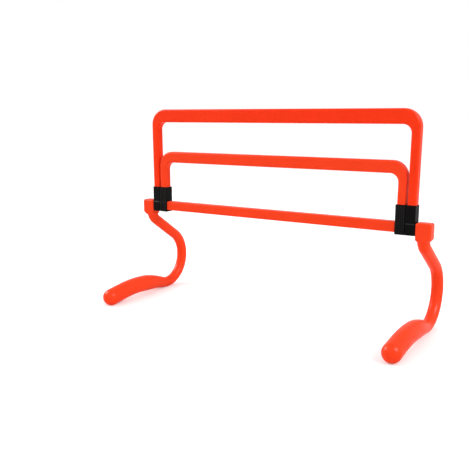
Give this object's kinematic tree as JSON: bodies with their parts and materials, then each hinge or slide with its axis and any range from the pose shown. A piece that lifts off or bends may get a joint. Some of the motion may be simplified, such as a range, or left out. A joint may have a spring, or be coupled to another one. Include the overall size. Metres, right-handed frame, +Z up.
{
  "type": "speed hurdle",
  "caption": "Low training hurdle with bent tube legs, a crossbar and nested U-shaped bars that turn in black sleeves to set its height.",
  "frame": {"origin": "on the ground, in the middle of the outline seen from above", "axes": "+Z up, X along the bars, -Y the side the toes point to"},
  "size_m": [0.4774, 0.2024, 0.3],
  "materials": {
    "orange_plastic": "smooth moulded orange, satin gloss",
    "sleeve_plastic": "black moulded plastic with fine upright ridges",
    "pivot_plastic": "plain grey moulded plastic",
    "screw_steel": "zinc-plated steel"
  },
  "bodies": {
    "stand": {"crossbar": "orange_plastic", "left_pivot": "pivot_plastic", "right_pivot": "pivot_plastic", "left_leg": "orange_plastic", "right_leg": "orange_plastic", "crossbar_screws": "screw_steel", "leg_screws": "screw_steel"},
    "middle": {"mid_bar": "orange_plastic", "left_mid_sleeve": "sleeve_plastic", "right_mid_sleeve": "sleeve_plastic", "mid_bar_screws": "screw_steel"},
    "high": {"high_bar": "orange_plastic", "left_high_sleeve": "sleeve_plastic", "right_high_sleeve": "sleeve_plastic", "high_bar_screws": "screw_steel"}
  },
  "joints": [
    {"name": "mid_bar_turn", "type": "hinge", "parent": "stand", "child": "middle", "pos_m": [0, 0.01471, 0.1471], "axis": [1, 0, 0], "continuous": true},
    {"name": "high_bar_turn", "type": "hinge", "parent": "stand", "child": "high", "pos_m": [0, 0.01471, 0.1471], "axis": [1, 0, 0], "range_deg": [-155, 147]}
  ]
}
